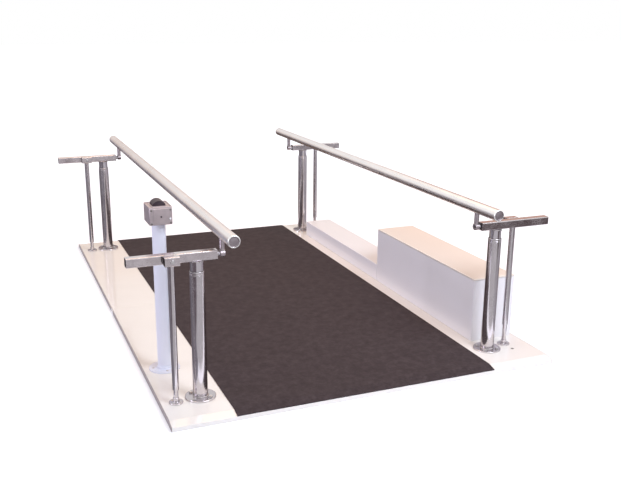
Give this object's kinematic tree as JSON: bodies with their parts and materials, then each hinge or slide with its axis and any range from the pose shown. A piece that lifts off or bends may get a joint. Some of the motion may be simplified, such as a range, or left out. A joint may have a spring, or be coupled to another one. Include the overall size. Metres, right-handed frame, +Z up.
{
  "type": "rehab walking parallel bars",
  "caption": "Powered-height parallel walking bars on a low platform: telescopic columns, sliding handrails, rubber mat, pump housing, duct and a rocker control on a post.",
  "frame": {"origin": "on the floor, under the middle of the platform: X = 0 midway between the handrails, Y = 0 at the joint between the two boards", "axes": "+Y along the walkway towards its rear end, +X towards the pump housing, +Z up"},
  "size_m": [1.624, 2.31, 0.663],
  "materials": {
    "polished_steel": "mirror polished",
    "satin_steel": "satin ground",
    "arm_steel": "polished, drawn tube",
    "zinc_steel": "bright zinc plate",
    "white_laminate": "gloss white laminate on board",
    "rubber_mat": "fine pebble, matt",
    "white_enamel": "white stove enamel",
    "cast_aluminium": "die cast, natural",
    "black_plastic": "moulded, semi-matt",
    "grey_nylon": "turned nylon",
    "motor_paint": "grey-blue motor enamel",
    "tank_plastic": "moulded polyethylene"
  },
  "bodies": {
    "base": {"front_deck": "white_laminate", "rear_deck": "white_laminate", "front_toe_strip": "white_laminate", "rear_toe_strip": "white_laminate", "walkway_mat": "rubber_mat", "column_front_left": "polished_steel", "column_rear_left": "polished_steel", "column_front_right": "polished_steel", "column_rear_right": "polished_steel", "gland_front_left": "polished_steel", "gland_rear_left": "polished_steel", "gland_front_right": "polished_steel", "gland_rear_right": "polished_steel", "guide_rod_front_left": "polished_steel", "guide_rod_rear_left": "polished_steel", "guide_rod_front_right": "polished_steel", "guide_rod_rear_right": "polished_steel", "pedestal_post": "white_enamel", "control_box": "cast_aluminium", "control_box_cover": "cast_aluminium", "switch_block": "black_plastic", "motor_housing": "white_enamel", "housing_lid": "white_enamel", "power_inlet": "black_plastic", "duct_cover": "white_enamel", "pump_motor": "motor_paint", "pump_block": "cast_aluminium", "oil_tank": "tank_plastic", "flow_divider_and_pipes": "zinc_steel"},
    "left_lift": {"ram_front_left": "polished_steel", "ram_rear_left": "polished_steel", "arm_front_left": "arm_steel", "arm_rear_left": "arm_steel", "guide_tube_front_left": "polished_steel", "guide_tube_rear_left": "polished_steel", "bush_front_left": "grey_nylon", "bush_rear_left": "grey_nylon"},
    "right_lift": {"ram_front_right": "polished_steel", "ram_rear_right": "polished_steel", "arm_front_right": "arm_steel", "arm_rear_right": "arm_steel", "guide_tube_front_right": "polished_steel", "guide_tube_rear_right": "polished_steel", "bush_front_right": "grey_nylon", "bush_rear_right": "grey_nylon"},
    "left_rail": {"slide_bar_front_left": "zinc_steel", "slide_bar_rear_left": "zinc_steel", "rail_post_front_left": "satin_steel", "rail_post_rear_left": "satin_steel", "handrail_left": "satin_steel", "rail_plug_front_left": "cast_aluminium", "rail_plug_rear_left": "cast_aluminium"},
    "right_rail": {"slide_bar_front_right": "zinc_steel", "slide_bar_rear_right": "zinc_steel", "rail_post_front_right": "satin_steel", "rail_post_rear_right": "satin_steel", "handrail_right": "satin_steel", "rail_plug_front_right": "cast_aluminium", "rail_plug_rear_right": "cast_aluminium"},
    "rocker": {"rocker_switch": "black_plastic"}
  },
  "joints": [
    {"name": "left_lift_slide", "type": "slide", "parent": "base", "child": "left_lift", "axis": [0, 0, 1], "range_m": [-0.025, 0.3]},
    {"name": "right_lift_slide", "type": "slide", "parent": "base", "child": "right_lift", "axis": [0, 0, 1], "range_m": [-0.025, 0.3]},
    {"name": "left_width_slide", "type": "slide", "parent": "left_lift", "child": "left_rail", "axis": [1, 0, 0], "range_m": [0, 0.2]},
    {"name": "right_width_slide", "type": "slide", "parent": "right_lift", "child": "right_rail", "axis": [-1, 0, 0], "range_m": [0, 0.2]},
    {"name": "rocker_tilt", "type": "hinge", "parent": "base", "child": "rocker", "pos_m": [-0.643, -0.706, 0.643], "axis": [0, 1, 0], "range_deg": [-8, 8], "stiffness_Nm_per_rad": 0.35}
  ],
  "couplings": [
    {"joint": "right_lift_slide", "follows": "left_lift_slide", "ratio": 1}
  ]
}
